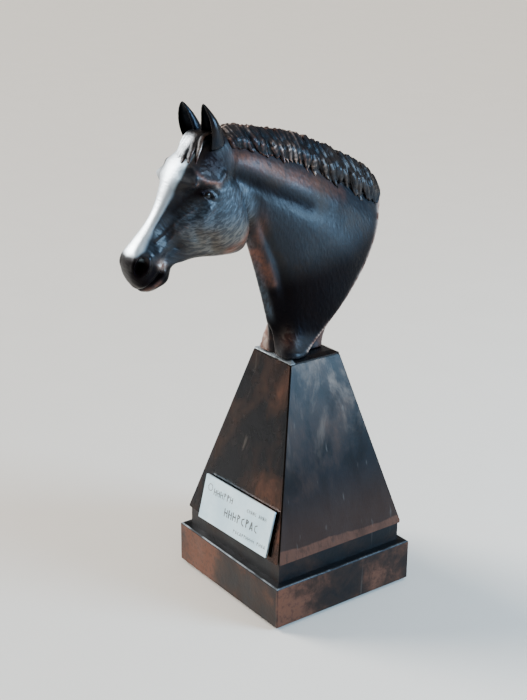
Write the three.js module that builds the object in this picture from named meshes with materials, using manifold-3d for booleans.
// Horse-head column trophy: a square plinth, a recessed collar, a tapered four-panel column with a
// hipped cap, and a cast bust of an Arabian horse's head and neck held down by one long tie rod.
// Millimetres, +Z up, origin at the centre of the underside. The horse faces -Y; its left side is +X.

import * as THREE from 'three';
import { mergeVertices } from 'three/addons/utils/BufferGeometryUtils.js';
import Module from 'manifold-3d';

const wasm = await Module();
wasm.setup();

// ---------------------------------------------------------------- driving dimensions

const U = 50; // half the plinth's side, which every proportion below is read against
const QUARTER_TURN = Math.PI / 2;
const OVERCUT = 1; // how far a cutting tool reaches past the face it opens

const FELT_THICKNESS = 1.2;
const FELT_INSET = 3;
const FELT_CORNER = 3;

const PLINTH_HALF = U;
const PLINTH_TOP_Z = 27.5;
const PLINTH_TOP_FALL = 0.3; // the ledge round the collar falls a little towards its edge
const PLINTH_EDGE_ROUND = 0.9;
const PLINTH_EDGE_EASE = 0.27; // the rounded edge's flat stands this far inside the sharp corner
const PLINTH_FOOT_CHAMFER = 0.8;

const COLLAR_HALF = 45.0;
const COLLAR_TOP_Z = 38.9;

const LIP_HALF = 46.5; // the panels' outer face at their bottom edge
const LIP_Z = 39.5;
const COLUMN_TOP_HALF = 18.1;
const COLUMN_TOP_Z = 146.0;
const PANEL_THICKNESS = 1.2;
const PANEL_EDGE_INSET = 0.7; // leaves the dark joint down each corner of the column
const PANEL_CORNER = 1.4;
const PANEL_GLUE_LINE = 0.3;
const PANEL_MITRE_GAP = 0.25; // between neighbouring panels inside the column's corner

const CAP_BOTTOM_Z = 146.3;
const CAP_BOTTOM_HALF = 17.7;
const CAP_TOP_Z = 148.2;
const CAP_TOP_HALF = 14.6;
const CAP_EDGE_HEIGHT = 0.6;

const NAMEPLATE_WIDTH = 68;
const NAMEPLATE_HEIGHT = 27.5;
const NAMEPLATE_THICKNESS = 1.2;
const NAMEPLATE_UP_SLOPE = 13.9; // centre of the plate above the lip, along the panel
const NAMEPLATE_ASIDE = 2.4; // towards the horse's left
const NAMEPLATE_TILT = THREE.MathUtils.degToRad(1.8); // it was stuck on a little crooked
const TAPE_THICKNESS = 0.8;
const TAPE_MARGIN = 4;
const TAPE_CORNER = 1;
const NAMEPLATE_CORNER = 0.4;
const FACE_GAP = 0.3;

const ROD_RADIUS = 3; // M6
const ROD_BOTTOM_Z = 3;
const ROD_TOP_Z = 166;
const ROD_BORE_RADIUS = 3.6;
const POCKET_RADIUS = 9.5;
const POCKET_TOP_Z = 11.2;
const WASHER_RADIUS = 8.5;
const WASHER_THICKNESS = 1.6;
const NUT_RADIUS = 5.75; // across corners
const NUT_HEIGHT = 5;
const INSERT_RADIUS = 4.4;
const INSERT_LENGTH = 14;
const INSERT_POCKET_RADIUS = 4.8;
const INSERT_POCKET_SPARE = 2; // above the rod's end
const BUST_SEAT_GAP = 0.1; // between the cap and the bust's foot

const SCREW_PLACE = 27; // each screw's distance from the middle along X and along Y
const SCREW_HEAD_RADIUS = 3.8;
const SCREW_HEAD_BOTTOM_Z = 2.2;
const SCREW_HEAD_TOP_Z = 5.2;
const SCREW_SHANK_RADIUS = 1.8;
const SCREW_TIP_Z = 55;
const SCREW_POINT_LENGTH = 4;
const SCREW_POINT_RADIUS = 0.3;
const SCREW_SPARE_DEPTH = 2; // pilot hole beyond the screw's tip
const SCREW_CLEARANCE = 0.4;

const PIN_RADIUS = 1.5;
const PIN_BOTTOM_Z = 142;
const PIN_TOP_Z = 155;
const PIN_CLEARANCE = 0.35;
const PIN_REAR_Y = 12;
const PIN_FRONT_Y = -9;

// ---------------------------------------------------------------- materials

const material = (color, roughness, metalness) =>
  new THREE.MeshStandardMaterial({ color, roughness, metalness });

const patinaCopper = material(0x4a3830, 0.38, 0.85);
const castBronze = material(0x2b2f36, 0.32, 0.8);
const capMetal = material(0x30343a, 0.35, 0.8);
const darkWood = material(0x1d1815, 0.7, 0);
const silverPlate = material(0xc6d2d6, 0.3, 0.9);
const foamTape = material(0x2a2a2a, 0.9, 0);
const zincSteel = material(0x9a9c9e, 0.35, 1);
const brassInsert = material(0xb08d3e, 0.35, 1);
const blackFelt = material(0x141414, 1, 0);

// ---------------------------------------------------------------- solids, joins and cuts

function toSolid(geometry) {
  const bare = (geometry.index ? geometry.toNonIndexed() : geometry).clone();
  bare.deleteAttribute('normal');
  bare.deleteAttribute('uv');
  const merged = mergeVertices(bare, 1e-4);
  return new wasm.Manifold(new wasm.Mesh({
    numProp: 3,
    vertProperties: new Float32Array(merged.attributes.position.array),
    triVerts: new Uint32Array(merged.index.array),
  }));
}

function toGeometry(solid) {
  const mesh = solid.getMesh();
  const position = new THREE.BufferAttribute(new Float32Array(mesh.vertProperties), mesh.numProp);
  const geometry = new THREE.BufferGeometry().setAttribute('position', position);
  geometry.setIndex(new THREE.BufferAttribute(new Uint32Array(mesh.triVerts), 1));
  geometry.computeVertexNormals();
  return geometry;
}

function cutAway(geometry, tools) {
  return toGeometry(tools.reduce((solid, tool) => solid.subtract(toSolid(tool)), toSolid(geometry)));
}

function joinAll(geometries) {
  const [first, ...others] = geometries.map(toSolid);
  return toGeometry(others.reduce((solid, other) => solid.add(other), first));
}

// An upright cylinder from z0 to z1.
function rod(radius, z0, z1, x = 0, y = 0, sides = 20) {
  const geometry = new THREE.CylinderGeometry(radius, radius, z1 - z0, sides);
  return geometry.rotateX(QUARTER_TURN).translate(x, y, (z0 + z1) / 2);
}

// An upright cone frustum from radius r0 at z0 to r1 at z1.
function cone(r0, r1, z0, z1, x = 0, y = 0, sides = 20) {
  const geometry = new THREE.CylinderGeometry(r1, r0, z1 - z0, sides);
  return geometry.rotateX(QUARTER_TURN).translate(x, y, (z0 + z1) / 2);
}

// Joins closed rings of the same number of points, each ring an array of [x, y, z], into one skin,
// and closes each end with a fan.
function skin(rings) {
  const count = rings[0].length;
  const middle = (ring) => [0, 1, 2].map((k) => ring.reduce((sum, p) => sum + p[k], 0) / count);
  const points = [...rings.flat(), middle(rings[0]), middle(rings.at(-1))];
  const startPole = points.length - 2;
  const endPole = points.length - 1;
  const lastRing = (rings.length - 1) * count;
  const index = [];
  for (let j = 0; j < count; j++) {
    const next = (j + 1) % count;
    index.push(startPole, next, j, endPole, lastRing + j, lastRing + next);
    for (let i = 0; i < rings.length - 1; i++) {
      const a = i * count;
      const b = a + count;
      index.push(a + j, a + next, b + next, a + j, b + next, b + j);
    }
  }
  const geometry = new THREE.BufferGeometry();
  geometry.setAttribute('position', new THREE.Float32BufferAttribute(points.flat(), 3));
  geometry.setIndex(index);
  return facingOut(geometry);
}

// Turns a closed skin's faces outwards if they were wound inwards.
function facingOut(geometry) {
  const p = geometry.attributes.position;
  const index = Array.from(geometry.index.array);
  const corner = (i) => new THREE.Vector3().fromBufferAttribute(p, index[i]);
  let volume = 0;
  for (let i = 0; i < index.length; i += 3) volume += corner(i).dot(corner(i + 1).cross(corner(i + 2)));
  if (volume < 0) geometry.setIndex(index.reverse());
  return geometry;
}

// A stack of square rings, [half side, z] each.
function squareStack(levels) {
  const corners = [[-1, -1], [1, -1], [1, 1], [-1, 1]];
  return skin(levels.map(([half, z]) => corners.map(([x, y]) => [x * half, y * half, z])));
}

// A closed outline with rounded corners through the given points.
function roundedShape(points, radius) {
  const shape = new THREE.Shape();
  points.forEach((point, i) => {
    const before = points.at(i - 1);
    const after = points[(i + 1) % points.length];
    const inwards = (other) => point.clone().lerp(other, radius / point.distanceTo(other));
    const start = inwards(before);
    const end = inwards(after);
    if (i === 0) shape.moveTo(start.x, start.y);
    else shape.lineTo(start.x, start.y);
    shape.quadraticCurveTo(point.x, point.y, end.x, end.y);
  });
  shape.closePath();
  return shape;
}

function plate(points, corner, thickness, curveSegments = 4) {
  const outline = roundedShape(points.map(([x, y]) => new THREE.Vector2(x, y)), corner);
  return new THREE.ExtrudeGeometry(outline, { depth: thickness, bevelEnabled: false, curveSegments });
}

const rectangle = (width, height) => [
  [-width / 2, -height / 2], [width / 2, -height / 2], [width / 2, height / 2], [-width / 2, height / 2],
];

// ---------------------------------------------------------------- assembly

const trophy = new THREE.Group();

function addPart(name, geometry, finish, parent = trophy) {
  const mesh = new THREE.Mesh(geometry, finish);
  mesh.name = name;
  parent.add(mesh);
  return mesh;
}

const screwPlaces = [[-1, -1], [1, -1], [1, 1], [-1, 1]].map(([x, y]) => [x * SCREW_PLACE, y * SCREW_PLACE]);

// ---------------------------------------------------------------- felt, plinth and collar

const feltSide = 2 * (PLINTH_HALF - FELT_INSET);
addPart('base_felt', plate(rectangle(feltSide, feltSide), FELT_CORNER, FELT_THICKNESS), blackFelt);

const screwBores = screwPlaces.map(([x, y]) =>
  rod(SCREW_SHANK_RADIUS + SCREW_CLEARANCE, 0, COLLAR_TOP_Z + OVERCUT, x, y, 12));
const screwHeadBores = screwPlaces.map(([x, y]) =>
  rod(SCREW_HEAD_RADIUS + SCREW_CLEARANCE, 0, SCREW_HEAD_TOP_Z + SCREW_CLEARANCE, x, y, 16));

const plinthEdgeZ = PLINTH_TOP_Z - PLINTH_TOP_FALL;
const plinthBlock = squareStack([
  [PLINTH_HALF - PLINTH_FOOT_CHAMFER, FELT_THICKNESS],
  [PLINTH_HALF, FELT_THICKNESS + PLINTH_FOOT_CHAMFER],
  [PLINTH_HALF, plinthEdgeZ - PLINTH_EDGE_ROUND],
  [PLINTH_HALF - PLINTH_EDGE_EASE, plinthEdgeZ - PLINTH_EDGE_EASE],
  [PLINTH_HALF - PLINTH_EDGE_ROUND, plinthEdgeZ],
  [COLLAR_HALF, PLINTH_TOP_Z],
]);
addPart('plinth', cutAway(plinthBlock, [
  rod(ROD_BORE_RADIUS, 0, PLINTH_TOP_Z + OVERCUT),
  rod(POCKET_RADIUS, 0, POCKET_TOP_Z, 0, 0, 24),
  ...screwBores,
  ...screwHeadBores,
]), patinaCopper);

const collarBlock = squareStack([[COLLAR_HALF, PLINTH_TOP_Z], [COLLAR_HALF, COLLAR_TOP_Z]]);
addPart('collar', cutAway(collarBlock, [
  rod(ROD_BORE_RADIUS, 0, COLLAR_TOP_Z + OVERCUT),
  ...screwBores,
]), patinaCopper);

// ---------------------------------------------------------------- column: core, panels and cap

const slope = Math.atan2(LIP_HALF - COLUMN_TOP_HALF, COLUMN_TOP_Z - LIP_Z); // from the vertical
const slantLength = Math.hypot(LIP_HALF - COLUMN_TOP_HALF, COLUMN_TOP_Z - LIP_Z);
const columnHalf = (z) => LIP_HALF - (z - LIP_Z) * Math.tan(slope);
const coreInset = (PANEL_THICKNESS + PANEL_GLUE_LINE) / Math.cos(slope);
const coreTopZ = CAP_BOTTOM_Z - PANEL_GLUE_LINE;

const coreBlock = squareStack([
  [columnHalf(COLLAR_TOP_Z) - coreInset, COLLAR_TOP_Z],
  [columnHalf(coreTopZ) - coreInset, coreTopZ],
]);
const pilotTopZ = SCREW_TIP_Z + SCREW_SPARE_DEPTH;
const pilotBores = screwPlaces.map(([x, y]) =>
  rod(SCREW_SHANK_RADIUS + SCREW_CLEARANCE, COLLAR_TOP_Z - OVERCUT, pilotTopZ, x, y, 12));
const pinBores = [PIN_REAR_Y, PIN_FRONT_Y].map((y) =>
  rod(PIN_RADIUS + PIN_CLEARANCE, PIN_BOTTOM_Z - OVERCUT, PIN_TOP_Z + OVERCUT, 0, y, 12));
addPart('column_core', cutAway(coreBlock, [
  rod(ROD_BORE_RADIUS, COLLAR_TOP_Z - OVERCUT, COLUMN_TOP_Z + OVERCUT),
  ...pilotBores,
  ...pinBores,
]), darkWood);

// Each panel is a trapezoid in its own plane: X along the lip, Y up the slope, Z outwards.
const panelOutline = [
  [-(LIP_HALF - PANEL_EDGE_INSET), 0],
  [LIP_HALF - PANEL_EDGE_INSET, 0],
  [COLUMN_TOP_HALF - PANEL_EDGE_INSET, slantLength],
  [-(COLUMN_TOP_HALF - PANEL_EDGE_INSET), slantLength],
];

// A group whose own plane is the outer face of one panel, turned to that side of the column.
function panelPlane(side) {
  const turned = new THREE.Group();
  turned.rotation.z = side * QUARTER_TURN;
  const plane = new THREE.Group();
  plane.position.set(0, -LIP_HALF, LIP_Z);
  plane.rotation.x = QUARTER_TURN - slope;
  turned.add(plane);
  trophy.add(turned);
  return plane;
}

// Neighbouring panels would meet inside the corner, so each one's inner edges are mitred.
function panelSolid() {
  const inset = PANEL_THICKNESS + PANEL_MITRE_GAP;
  const ring = (shrink, z) => panelOutline.map(([x, y]) => [x - Math.sign(x) * shrink, y, z]);
  const mitre = skin([ring(inset, -PANEL_THICKNESS - OVERCUT), ring(inset, -PANEL_THICKNESS),
    ring(0, 0), ring(0, OVERCUT)]);
  const blank = plate(panelOutline, PANEL_CORNER, PANEL_THICKNESS).translate(0, 0, -PANEL_THICKNESS);
  return toGeometry(toSolid(blank).intersect(toSolid(mitre)));
}

const panelNames = ['front_panel', 'left_panel', 'rear_panel', 'right_panel'];
const planes = panelNames.map((name, side) => {
  const plane = panelPlane(side);
  addPart(name, panelSolid(), patinaCopper, plane);
  return plane;
});

const capBlock = squareStack([
  [CAP_BOTTOM_HALF, CAP_BOTTOM_Z],
  [CAP_BOTTOM_HALF, CAP_BOTTOM_Z + CAP_EDGE_HEIGHT],
  [CAP_TOP_HALF, CAP_TOP_Z],
]);
addPart('cap_plate', cutAway(capBlock, [
  rod(ROD_BORE_RADIUS, CAP_BOTTOM_Z - OVERCUT, CAP_TOP_Z + OVERCUT),
  ...pinBores,
]), capMetal);

// ---------------------------------------------------------------- nameplate on the front panel

const plateGroup = new THREE.Group();
plateGroup.position.set(NAMEPLATE_ASIDE, NAMEPLATE_UP_SLOPE, 0);
plateGroup.rotation.z = NAMEPLATE_TILT;
planes[0].add(plateGroup);

const tape = plate(rectangle(NAMEPLATE_WIDTH - 2 * TAPE_MARGIN, NAMEPLATE_HEIGHT - 2 * TAPE_MARGIN),
  TAPE_CORNER, TAPE_THICKNESS, 2);
addPart('nameplate_tape', tape.translate(0, 0, FACE_GAP), foamTape, plateGroup);
const badge = plate(rectangle(NAMEPLATE_WIDTH, NAMEPLATE_HEIGHT), NAMEPLATE_CORNER, NAMEPLATE_THICKNESS, 2);
addPart('nameplate', badge.translate(0, 0, 2 * FACE_GAP + TAPE_THICKNESS), silverPlate, plateGroup);

// ---------------------------------------------------------------- the horse: smooth tables

// Catmull-Rom interpolation of rows of numbers at rising stations; rows[i] belongs to stations[i].
function smoothRow(stations, rows, at) {
  const last = stations.length - 1;
  let i = stations.findIndex((s) => s > at) - 1;
  if (i < 0) i = at <= stations[0] ? 0 : last - 1;
  const u = THREE.MathUtils.clamp((at - stations[i]) / (stations[i + 1] - stations[i]), 0, 1);
  const row = (k) => rows[THREE.MathUtils.clamp(k, 0, last)];
  const slopeAt = (k, c) => {
    const before = Math.max(k - 1, 0);
    const after = Math.min(k + 1, last);
    return (row(after)[c] - row(before)[c]) / (stations[after] - stations[before]);
  };
  const gap = stations[i + 1] - stations[i];
  return row(i).map((value, c) => {
    const m0 = slopeAt(i, c) * gap;
    const m1 = slopeAt(i + 1, c) * gap;
    const end = row(i + 1)[c];
    return (2 * u ** 3 - 3 * u ** 2 + 1) * value + (u ** 3 - 2 * u ** 2 + u) * m0
      + (-2 * u ** 3 + 3 * u ** 2) * end + (u ** 3 - u ** 2) * m1;
  });
}

// A ring round a slice from its upper point to its lower point, both [y, z]. widths are the half
// thicknesses at the given shares of the way down.
const SIDE_STEPS = 9;
const ROUNDING = 8; // a higher power keeps the section squarer before it closes
function sliceRing(upper, lower, shares, widths) {
  const at = (share) => [0, 1].map((k) => upper[k] + (lower[k] - upper[k]) * share);
  const half = [];
  for (let i = 0; i <= SIDE_STEPS; i++) {
    const share = (1 - Math.cos((Math.PI * i) / SIDE_STEPS)) / 2;
    const closing = Math.min(1, Math.sqrt(Math.max(0, 1 - (2 * share - 1) ** ROUNDING)));
    half.push([Math.max(smoothRow(shares, widths.map((w) => [w]), share)[0] * closing, 0), ...at(share)]);
  }
  const right = half.slice(1, -1).reverse().map(([x, y, z]) => [-x, y, z]);
  return [...half, ...right];
}

function slicedBody(table, shares, place, steps) {
  const stations = table.map((row) => row[0]);
  const rows = table.map((row) => row.slice(1));
  const rings = [];
  for (let i = 0; i <= steps; i++) {
    const at = THREE.MathUtils.lerp(stations[0], stations.at(-1), i / steps);
    const values = smoothRow(stations, rows, at);
    const [upper, lower, widths] = place(at, values);
    rings.push(sliceRing(upper, lower, shares, widths));
  }
  return skin(rings);
}

// ---------------------------------------------------------------- the horse: head

// The horse is given in shares of U above its own datum level, which is this high.
const HORSE_DATUM_Z = 3;
const SEAT_LEVEL = (CAP_TOP_Z - HORSE_DATUM_Z) / U;

// The head's own axis runs from the poll down to the muzzle.
const POLL = [-1.25 * U, 5.52 * U];
const HEAD_DROP = THREE.MathUtils.degToRad(55);
const headPoint = (along, front) => [
  POLL[0] - U * (along * Math.cos(HEAD_DROP) + front * Math.sin(HEAD_DROP)),
  POLL[1] - U * (along * Math.sin(HEAD_DROP) - front * Math.cos(HEAD_DROP)),
];

const HEAD_STEPS = 26;
const HEAD_SHARES = [0, 0.15, 0.3, 0.5, 0.7, 0.88, 1];
// along, face line, jaw line, then the half widths from the face line to the jaw line
const HEAD_TABLE = [
  [-0.06, -0.05, -0.30, 0.06, 0.12, 0.14, 0.14, 0.12, 0.08, 0.04],
  [0.08, 0.09, -0.44, 0.09, 0.18, 0.21, 0.21, 0.19, 0.14, 0.06],
  [0.27, 0.19, -0.64, 0.12, 0.27, 0.30, 0.27, 0.23, 0.17, 0.08],
  [0.50, 0.23, -0.92, 0.13, 0.36, 0.39, 0.31, 0.28, 0.22, 0.12],
  [0.70, 0.20, -1.02, 0.13, 0.26, 0.30, 0.29, 0.27, 0.22, 0.13],
  [0.90, 0.14, -0.97, 0.12, 0.19, 0.22, 0.25, 0.24, 0.20, 0.11],
  [1.10, 0.13, -0.68, 0.12, 0.16, 0.18, 0.19, 0.18, 0.14, 0.08],
  [1.27, 0.16, -0.42, 0.12, 0.15, 0.16, 0.17, 0.15, 0.12, 0.07],
  [1.44, 0.18, -0.34, 0.11, 0.16, 0.19, 0.18, 0.15, 0.13, 0.08],
  [1.58, 0.15, -0.31, 0.10, 0.17, 0.19, 0.17, 0.14, 0.12, 0.07],
  [1.68, 0.05, -0.27, 0.07, 0.12, 0.13, 0.12, 0.11, 0.09, 0.05],
  [1.73, -0.06, -0.22, 0.02, 0.04, 0.05, 0.05, 0.05, 0.04, 0.02],
];
const head = slicedBody(HEAD_TABLE, HEAD_SHARES, (along, [face, jaw, ...widths]) =>
  [headPoint(along, face), headPoint(along, jaw), widths.map((w) => w * U)], HEAD_STEPS);

// ---------------------------------------------------------------- the horse: neck, mane and foot

const NECK_STEPS = 20;
const NECK_SHARES = [0, 0.08, 0.2, 0.4, 0.6, 0.75, 0.88, 1];
// station, crest y z, throat y z, then the half widths from the crest to the throat
const NECK_TABLE = [
  [0, -1.10, 5.40, -1.05, 4.80, 0.04, 0.10, 0.16, 0.18, 0.18, 0.16, 0.12, 0.05],
  [1, -0.75, 5.46, -0.78, 4.42, 0.04, 0.11, 0.18, 0.21, 0.21, 0.19, 0.14, 0.06],
  [2, -0.30, 5.34, -0.66, 4.10, 0.04, 0.12, 0.21, 0.26, 0.25, 0.20, 0.14, 0.06],
  [3, 0.15, 5.17, -0.57, 3.80, 0.04, 0.12, 0.23, 0.30, 0.29, 0.22, 0.15, 0.06],
  [4, 0.55, 4.98, -0.49, 3.53, 0.04, 0.12, 0.24, 0.33, 0.32, 0.26, 0.18, 0.07],
  [5, 0.85, 4.78, -0.43, 3.28, 0.04, 0.12, 0.24, 0.34, 0.34, 0.28, 0.20, 0.10],
  [6, 1.05, 4.60, -0.39, 3.05, 0.04, 0.11, 0.23, 0.33, 0.34, 0.28, 0.25, 0.19],
  [7, 1.22, 4.36, -0.38, 2.85, 0.04, 0.10, 0.21, 0.31, 0.33, 0.28, 0.29, 0.27],
  [8, 1.36, 4.05, -0.32, 2.66, 0.04, 0.10, 0.20, 0.29, 0.33, 0.28, 0.29, 0.28],
];
const neck = slicedBody(NECK_TABLE, NECK_SHARES, (station, [cy, cz, ty, tz, ...widths]) =>
  [[cy * U, cz * U], [ty * U, tz * U], widths.map((w) => w * U)], NECK_STEPS);

const MANE_STEPS = 14;
const MANE_SHARES = [0, 0.5, 1];
// station, top y z, root y z, half widths
const MANE_TABLE = [
  [0, -1.18, 5.56, -1.14, 5.36, 0.03, 0.08, 0.08],
  [1, -1.00, 5.63, -0.98, 5.34, 0.04, 0.13, 0.13],
  [2, -0.60, 5.55, -0.66, 5.24, 0.04, 0.15, 0.17],
  [3, -0.10, 5.43, -0.24, 5.08, 0.04, 0.17, 0.20],
  [4, 0.40, 5.19, 0.22, 4.82, 0.04, 0.18, 0.21],
  [5, 0.85, 4.97, 0.66, 4.60, 0.04, 0.17, 0.19],
  [6, 1.14, 4.74, 0.96, 4.48, 0.04, 0.13, 0.14],
  [7, 1.21, 4.56, 1.12, 4.46, 0.02, 0.05, 0.05],
];
const mane = slicedBody(MANE_TABLE, MANE_SHARES, (station, [ty, tz, ry, rz, ...widths]) =>
  [[ty * U, tz * U], [ry * U, rz * U], widths.map((w) => w * U)], MANE_STEPS);

// The neck is cut off along a curve that sweeps from the mane's end round to the column.
const CUT_CURVE = [[1.16, 4.62], [1.04, 4.10], [0.42, 3.42], [-0.16, SEAT_LEVEL]];
const CUTTER_REAR = 3 * U; // well behind the mane
function neckCutter() {
  const points = CUT_CURVE.map(([y, z]) => new THREE.Vector2(y * U, z * U));
  const crestEnd = points[0];
  const columnEnd = points.at(-1);
  const shape = new THREE.Shape();
  shape.moveTo(crestEnd.x, crestEnd.y);
  shape.bezierCurveTo(...points.slice(1).flatMap((p) => [p.x, p.y]));
  shape.lineTo(columnEnd.x, U);
  shape.lineTo(CUTTER_REAR, U);
  shape.lineTo(CUTTER_REAR, crestEnd.y);
  shape.closePath();
  const prism = new THREE.ExtrudeGeometry(shape, { depth: 2 * U, bevelEnabled: false, curveSegments: 12 });
  // The shape is drawn as (y, z) and extruded along X.
  return prism.rotateX(QUARTER_TURN).rotateZ(QUARTER_TURN).translate(-U, 0, 0);
}

// The foot stands on the cap plate and carries the neck's cut underside.
const FOOT = [
  // y front, y rear, z, half width
  [-0.22, 0.29, SEAT_LEVEL, 0.17],
  [-0.18, 0.31, 3.00, 0.15],
  [-0.14, 0.40, 3.20, 0.14],
  [0.05, 0.50, 3.66, 0.14],
];
const foot = skin(FOOT.map(([front, rear, z, half]) => [
  [-half, front, z], [half, front, z], [half, rear, z], [-half, rear, z],
].map((p) => p.map((value) => value * U))));

// ---------------------------------------------------------------- the horse: ears

const EAR_RING = 8;
const EAR_ACROSS = [0.75, 0.65, 0]; // the left ear's broad direction, mirrored for the right ear
// share of the way to the tip, half width across, half depth, forward bow
const EAR_TABLE = [
  [-0.25, 0.085, 0.075, 0.00],
  [0.00, 0.105, 0.085, 0.00],
  [0.30, 0.110, 0.075, 0.015],
  [0.60, 0.080, 0.055, 0.015],
  [0.85, 0.040, 0.030, 0.00],
  [1.00, 0.008, 0.008, -0.01],
];
function ear(root, tip) {
  const from = new THREE.Vector3(...root).multiplyScalar(U);
  const axis = new THREE.Vector3(...tip).multiplyScalar(U).sub(from);
  const across = new THREE.Vector3(...EAR_ACROSS).normalize();
  across.x *= Math.sign(root[0]);
  const outwards = new THREE.Vector3().crossVectors(axis, across).normalize();
  const rings = EAR_TABLE.map(([share, wide, deep, bow]) => {
    const middle = from.clone().addScaledVector(axis, share).addScaledVector(outwards, bow * U);
    return Array.from({ length: EAR_RING }, (_, i) => {
      const turn = (2 * Math.PI * i) / EAR_RING;
      return middle.clone().addScaledVector(across, wide * U * Math.cos(turn))
        .addScaledVector(outwards, deep * U * Math.sin(turn)).toArray();
    });
  });
  return skin(rings);
}
const leftEar = ear([0.17, -1.22, 5.50], [0.20, -1.42, 5.90]);
const rightEar = ear([-0.17, -1.30, 5.50], [-0.20, -1.46, 5.87]);

const insertPocket = rod(INSERT_POCKET_RADIUS, CAP_TOP_Z - OVERCUT, ROD_TOP_Z + INSERT_POCKET_SPARE);
// Everything below the foot's seat is cut off level.
const belowSeat = new THREE.BoxGeometry(4 * U, 4 * U, U).translate(0, 0, CAP_TOP_Z + BUST_SEAT_GAP - U / 2);
const horse = joinAll([cutAway(neck, [neckCutter()]), head, mane, foot, leftEar, rightEar]);
const bust = cutAway(horse.translate(0, 0, HORSE_DATUM_Z), [
  insertPocket,
  ...pinBores,
  belowSeat,
]);
addPart('horse_bust', bust, castBronze);

// ---------------------------------------------------------------- fixings inside

addPart('tie_rod', rod(ROD_RADIUS, ROD_BOTTOM_Z, ROD_TOP_Z, 0, 0, 16), zincSteel);
addPart('rod_washer', cutAway(
  rod(WASHER_RADIUS, POCKET_TOP_Z - WASHER_THICKNESS, POCKET_TOP_Z),
  [rod(ROD_RADIUS + FACE_GAP, 0, POCKET_TOP_Z + OVERCUT)],
), zincSteel);
const nutTopZ = POCKET_TOP_Z - WASHER_THICKNESS;
addPart('rod_nut', cutAway(
  rod(NUT_RADIUS, nutTopZ - NUT_HEIGHT, nutTopZ, 0, 0, 6),
  [rod(ROD_RADIUS + FACE_GAP, 0, POCKET_TOP_Z + OVERCUT)],
), zincSteel);
addPart('bust_insert', cutAway(
  rod(INSERT_RADIUS, ROD_TOP_Z - INSERT_LENGTH, ROD_TOP_Z),
  [rod(ROD_RADIUS + FACE_GAP, 0, ROD_TOP_Z + OVERCUT)],
), brassInsert);

screwPlaces.forEach(([x, y], i) => {
  const screw = joinAll([
    cone(SCREW_HEAD_RADIUS, SCREW_SHANK_RADIUS, SCREW_HEAD_BOTTOM_Z, SCREW_HEAD_TOP_Z, x, y, 12),
    rod(SCREW_SHANK_RADIUS, SCREW_HEAD_BOTTOM_Z + OVERCUT, SCREW_TIP_Z - SCREW_POINT_LENGTH, x, y, 12),
    cone(SCREW_SHANK_RADIUS, SCREW_POINT_RADIUS, SCREW_TIP_Z - SCREW_POINT_LENGTH, SCREW_TIP_Z, x, y, 12),
  ]);
  addPart(`base_screw_${i + 1}`, screw, zincSteel);
});

addPart('rear_locating_pin', rod(PIN_RADIUS, PIN_BOTTOM_Z, PIN_TOP_Z, 0, PIN_REAR_Y, 12), zincSteel);
addPart('front_locating_pin', rod(PIN_RADIUS, PIN_BOTTOM_Z, PIN_TOP_Z, 0, PIN_FRONT_Y, 12), zincSteel);

export default trophy;
